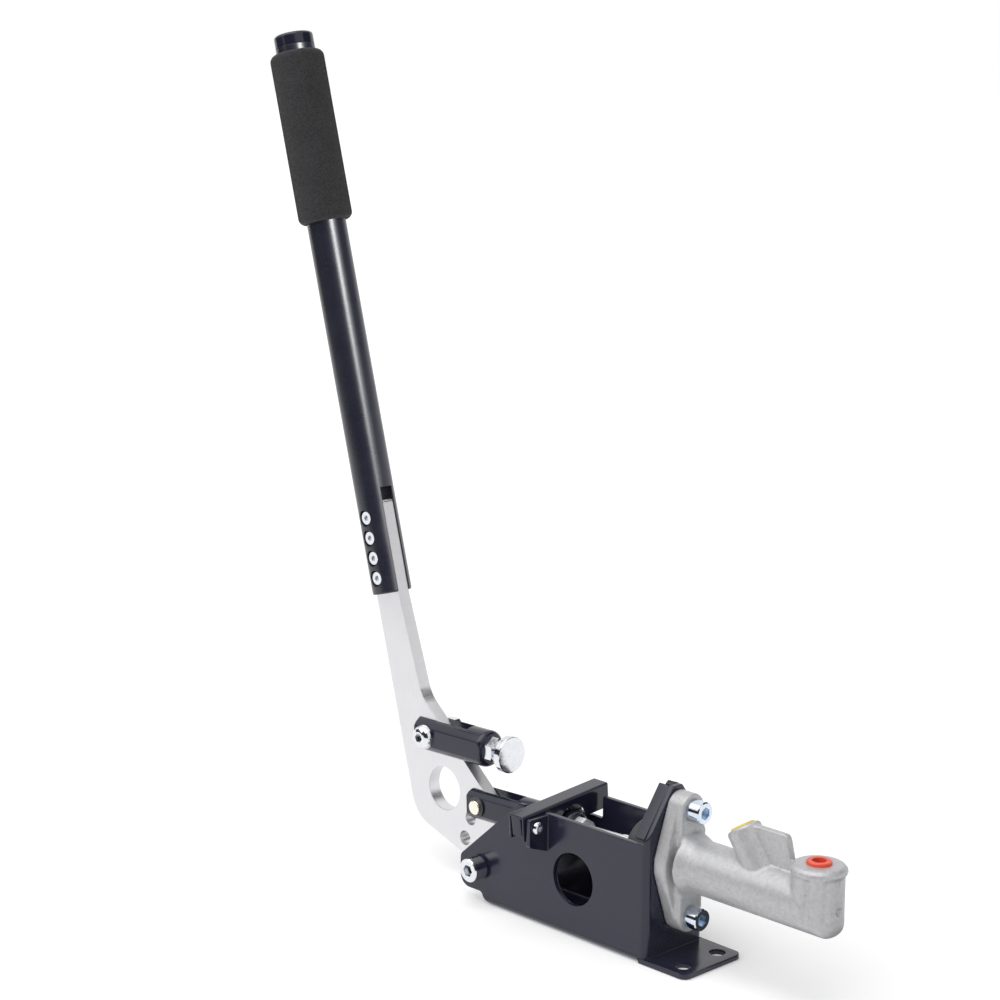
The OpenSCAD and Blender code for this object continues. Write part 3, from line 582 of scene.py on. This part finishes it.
def makeCastBody():
    solid = nodes["master_cylinder"]
    piece = copyNode("master_cylinder", "castBody")
    applyModifier(piece, "REMESH", mode="VOXEL", voxel_size=castBody["voxel"], adaptivity=0.0)
    applyModifier(piece, "SMOOTH", factor=castBody["softening"], iterations=castBody["rounds"])
    fillet = piece.vertex_groups.new(name="fillet")
    reach = castBody["filletReach"]
    for vertex in piece.data.vertices:
        out = fromBoreAxis(vertex) - castBody["barrel"]
        ahead = vertex.co.x - castBody["shoulder"]
        if abs(ahead) < reach and -castBody["filletSink"] < out < reach:
            fillet.add([vertex.index], 1.0, "REPLACE")
    applyModifier(piece, "SMOOTH", factor=castBody["softening"],
                  iterations=castBody["filletRounds"], vertex_group="fillet")
    skin = bpy.data.textures.new("castSkin", "CLOUDS")
    skin.noise_scale = castBody["skinSize"]
    skin.noise_depth = 3
    applyModifier(piece, "DISPLACE", texture=skin, strength=castBody["skin"], mid_level=0.5,
                  texture_coords="LOCAL")
    for vertex in piece.data.vertices:  # the bore is machined, so it keeps the size of the solid
        if fromBoreAxis(vertex) < castBody["bore"] + 2 * castBody["voxel"]:
            vertex.co = solid.closest_point_on_mesh(vertex.co)[1]
    pick(piece)
    bpy.ops.object.shade_smooth()
    standFor(piece, "master_cylinder")


makeCastBody()
print("cast body made")


# foam sleeve on the handle
foamSleeve = {
    "outer": 0.01518,
    "inner": 0.0113,
    "length": 0.098,
    "from": 0.2145,
    "round": 0.0036,
    "roundSteps": 8,
    "sides": 128,
    "rings": 104,
    "crumb": 0.00022,
    "crumbSize": 0.0025,
    "near": 1e-6,
    "rimBand": 1e-5,
}
handle = {"lean": math.radians(15.3), "back": 0.0975, "up": 0.1335}


def onHandle(height):
    pivot = Vector(joints["lever_pivot"]["pos_m"])
    foot = pivot + Vector((-handle["back"], 0, handle["up"]))
    along = Vector((-math.sin(handle["lean"]), 0, math.cos(handle["lean"])))
    return foot + along * height


def makeFoamSleeve():
    clearSelection()
    bpy.ops.mesh.primitive_cylinder_add(vertices=foamSleeve["sides"], radius=foamSleeve["outer"],
                                        depth=foamSleeve["length"], end_fill_type="NGON")
    piece = bpy.context.active_object
    piece.name = "foamSleeve"
    bpy.ops.object.mode_set(mode="EDIT")
    bpy.ops.mesh.select_mode(type="FACE")
    bpy.ops.mesh.select_all(action="DESELECT")
    bpy.ops.object.mode_set(mode="OBJECT")
    for face in piece.data.polygons:
        face.select = abs(face.normal.z) > 0.9
    bpy.ops.object.mode_set(mode="EDIT")
    bpy.ops.mesh.inset(thickness=foamSleeve["outer"] - foamSleeve["inner"])
    bpy.ops.mesh.bridge_edge_loops()
    bpy.ops.mesh.select_mode(type="EDGE")
    bpy.ops.mesh.select_all(action="DESELECT")
    bpy.ops.object.mode_set(mode="OBJECT")
    half = foamSleeve["length"] / 2
    rim = foamSleeve["outer"] - foamSleeve["rimBand"]
    near = foamSleeve["near"]
    for edge in piece.data.edges:  # takes the rims, and the lengthwise edges that end on them
        ends = [piece.data.vertices[v].co for v in edge.vertices]
        edge.select = all(abs(abs(p.z) - half) < near and p.xy.length > rim for p in ends)
    bpy.ops.object.mode_set(mode="EDIT")
    bpy.ops.mesh.bevel(offset=foamSleeve["round"], segments=foamSleeve["roundSteps"], profile=0.5)
    bpy.ops.mesh.select_all(action="DESELECT")
    bpy.ops.object.mode_set(mode="OBJECT")
    for edge in piece.data.edges:
        ends = [piece.data.vertices[v].co for v in edge.vertices]
        edge.select = abs(ends[0].z - ends[1].z) > half and ends[0].xy.length > rim
    bpy.ops.object.mode_set(mode="EDIT")
    bpy.ops.mesh.subdivide_edgering(number_cuts=foamSleeve["rings"], interpolation="LINEAR")
    bpy.ops.object.mode_set(mode="OBJECT")
    lean = Matrix.Rotation(-handle["lean"], 4, "Y")
    piece.matrix_world = Matrix.Translation(onHandle(foamSleeve["from"] + half)) @ lean
    pick(piece)
    bpy.ops.object.transform_apply(location=True, rotation=True, scale=True)
    crumb = bpy.data.textures.new("foamCrumb", "CLOUDS")
    crumb.noise_scale = foamSleeve["crumbSize"]
    crumb.noise_depth = 2
    applyModifier(piece, "DISPLACE", texture=crumb, strength=foamSleeve["crumb"], mid_level=0.5,
                  texture_coords="LOCAL")
    bpy.ops.object.shade_smooth_by_angle(angle=math.radians(60))
    standFor(piece, "foam_grip")


makeFoamSleeve()
print("foam sleeve made")


# pale floor, soft light from above and dark cards for the metal to mirror
studio = {
    "floorSize": 24.0,
    "floorDown": 0.0002,
    "floorColour": (0.93, 0.93, 0.935),
    "floorLift": 0.2,  # brings the lit floor to the white of the background
    "skyForDiffuse": 0.44,
    "sun": {"place": (0, 0, 2), "aim": (0.1, 0.55, -1.0), "power": 1.95, "angle": 75},
    "strip": {
        "place": (1.75, -0.38, 1.42),
        "aim": (-0.2, 0.0, 0.4),
        "size": (0.7, 0.8),
        "power": 45,
        "lights": ("handle_tubeFinished",),
    },
    "cardColour": (0.02, 0.02, 0.022),
    "cards": [
        {"place": (0.155, 0.0525, 0.001), "aim": (0.155, 0.0525, 0.0), "size": (0.17, 0.105)},
        {"place": (0.6, 0.98, 1.0), "aim": (-0.2, 0.0, 1.0), "size": (1.5, 0.9)},
        {"place": (-0.95, -0.98, 0.34), "aim": (0.0, 0.0, 0.34), "size": (1.7, 0.56)},
        {"place": (0.25, -1.1, 0.6), "aim": (0.05, 0.0, 0.6), "size": (1.5, 1.2)},
        {"place": (1.15, -0.95, 0.6), "aim": (-0.1, 0.0, 0.6), "size": (0.8, 1.2)},
    ],
}


def seenRays(tree):
    path = tree.nodes.new("ShaderNodeLightPath")
    seen = addUp(tree, path.outputs["Is Camera Ray"], path.outputs["Is Glossy Ray"], "MAXIMUM")
    return path, seen


def makeWorld():
    world = bpy.data.worlds.new("studioWorld")
    bpy.context.scene.world = world
    world.use_nodes = True
    tree = world.node_tree
    background = tree.nodes["Background"]
    background.inputs["Color"].default_value = (1, 1, 1, 1)
    path, seen = seenRays(tree)
    seen = addUp(tree, seen, path.outputs["Is Transmission Ray"], "MAXIMUM")
    strength = span(tree, seen, 0, 1, studio["skyForDiffuse"], 1.0)
    tree.links.new(strength, background.inputs["Strength"])


def makeFloor():
    clearSelection()
    bpy.ops.mesh.primitive_plane_add(size=studio["floorSize"], location=(0, 0, -studio["floorDown"]))
    floor = bpy.context.active_object
    floor.name = "paleFloor"
    bpy.ops.object.transform_apply(location=True)
    material, tree, shader = startMaterial("paleFloor", studio["floorColour"], roughness=0.9)
    shader.inputs["Specular IOR Level"].default_value = 0.1
    path, seen = seenRays(tree)
    shader.inputs["Emission Color"].default_value = (1, 1, 1, 1)
    lift = span(tree, seen, 0, 1, 0.0, studio["floorLift"])
    tree.links.new(lift, shader.inputs["Emission Strength"])
    floor.data.materials.append(material)


def pointAt(thing, place, aim):
    thing.location = place
    thing.rotation_euler = (Vector(aim) - Vector(place)).to_track_quat("-Z", "Y").to_euler()


def makeSun():
    clearSelection()
    bpy.ops.object.light_add(type="SUN")
    sun = bpy.context.active_object
    sun.name = "softSun"
    sun.data.energy = studio["sun"]["power"]
    sun.data.angle = math.radians(studio["sun"]["angle"])
    place = Vector(studio["sun"]["place"])
    pointAt(sun, place, place + Vector(studio["sun"]["aim"]))


def makeStrip():
    strip = studio["strip"]
    clearSelection()
    bpy.ops.object.light_add(type="AREA")
    light = bpy.context.active_object
    light.name = "stripLight"
    light.data.shape = "RECTANGLE"
    light.data.size, light.data.size_y = strip["size"]
    light.data.energy = strip["power"]
    pointAt(light, strip["place"], strip["aim"])
    lit = bpy.data.collections.new("stripLit")  # the pale pieces would clip in it
    for name in strip["lights"]:
        lit.objects.link(bpy.data.objects[name])
    light.light_linking.receiver_collection = lit


def makeCards():
    material = startMaterial("darkCard", studio["cardColour"], roughness=0.9)[0]
    for number, card in enumerate(studio["cards"]):
        clearSelection()
        bpy.ops.mesh.primitive_plane_add(size=1)
        panel = bpy.context.active_object
        panel.name = "darkCard" + str(number)
        panel.scale = (*card["size"], 1)
        pointAt(panel, card["place"], card["aim"])
        bpy.ops.object.transform_apply(location=True, rotation=True, scale=True)
        panel.data.materials.append(material)
        panel.visible_camera = False
        panel.visible_diffuse = False
        panel.visible_shadow = False


makeWorld()
makeFloor()
makeSun()
makeStrip()
makeCards()
print("studio made")
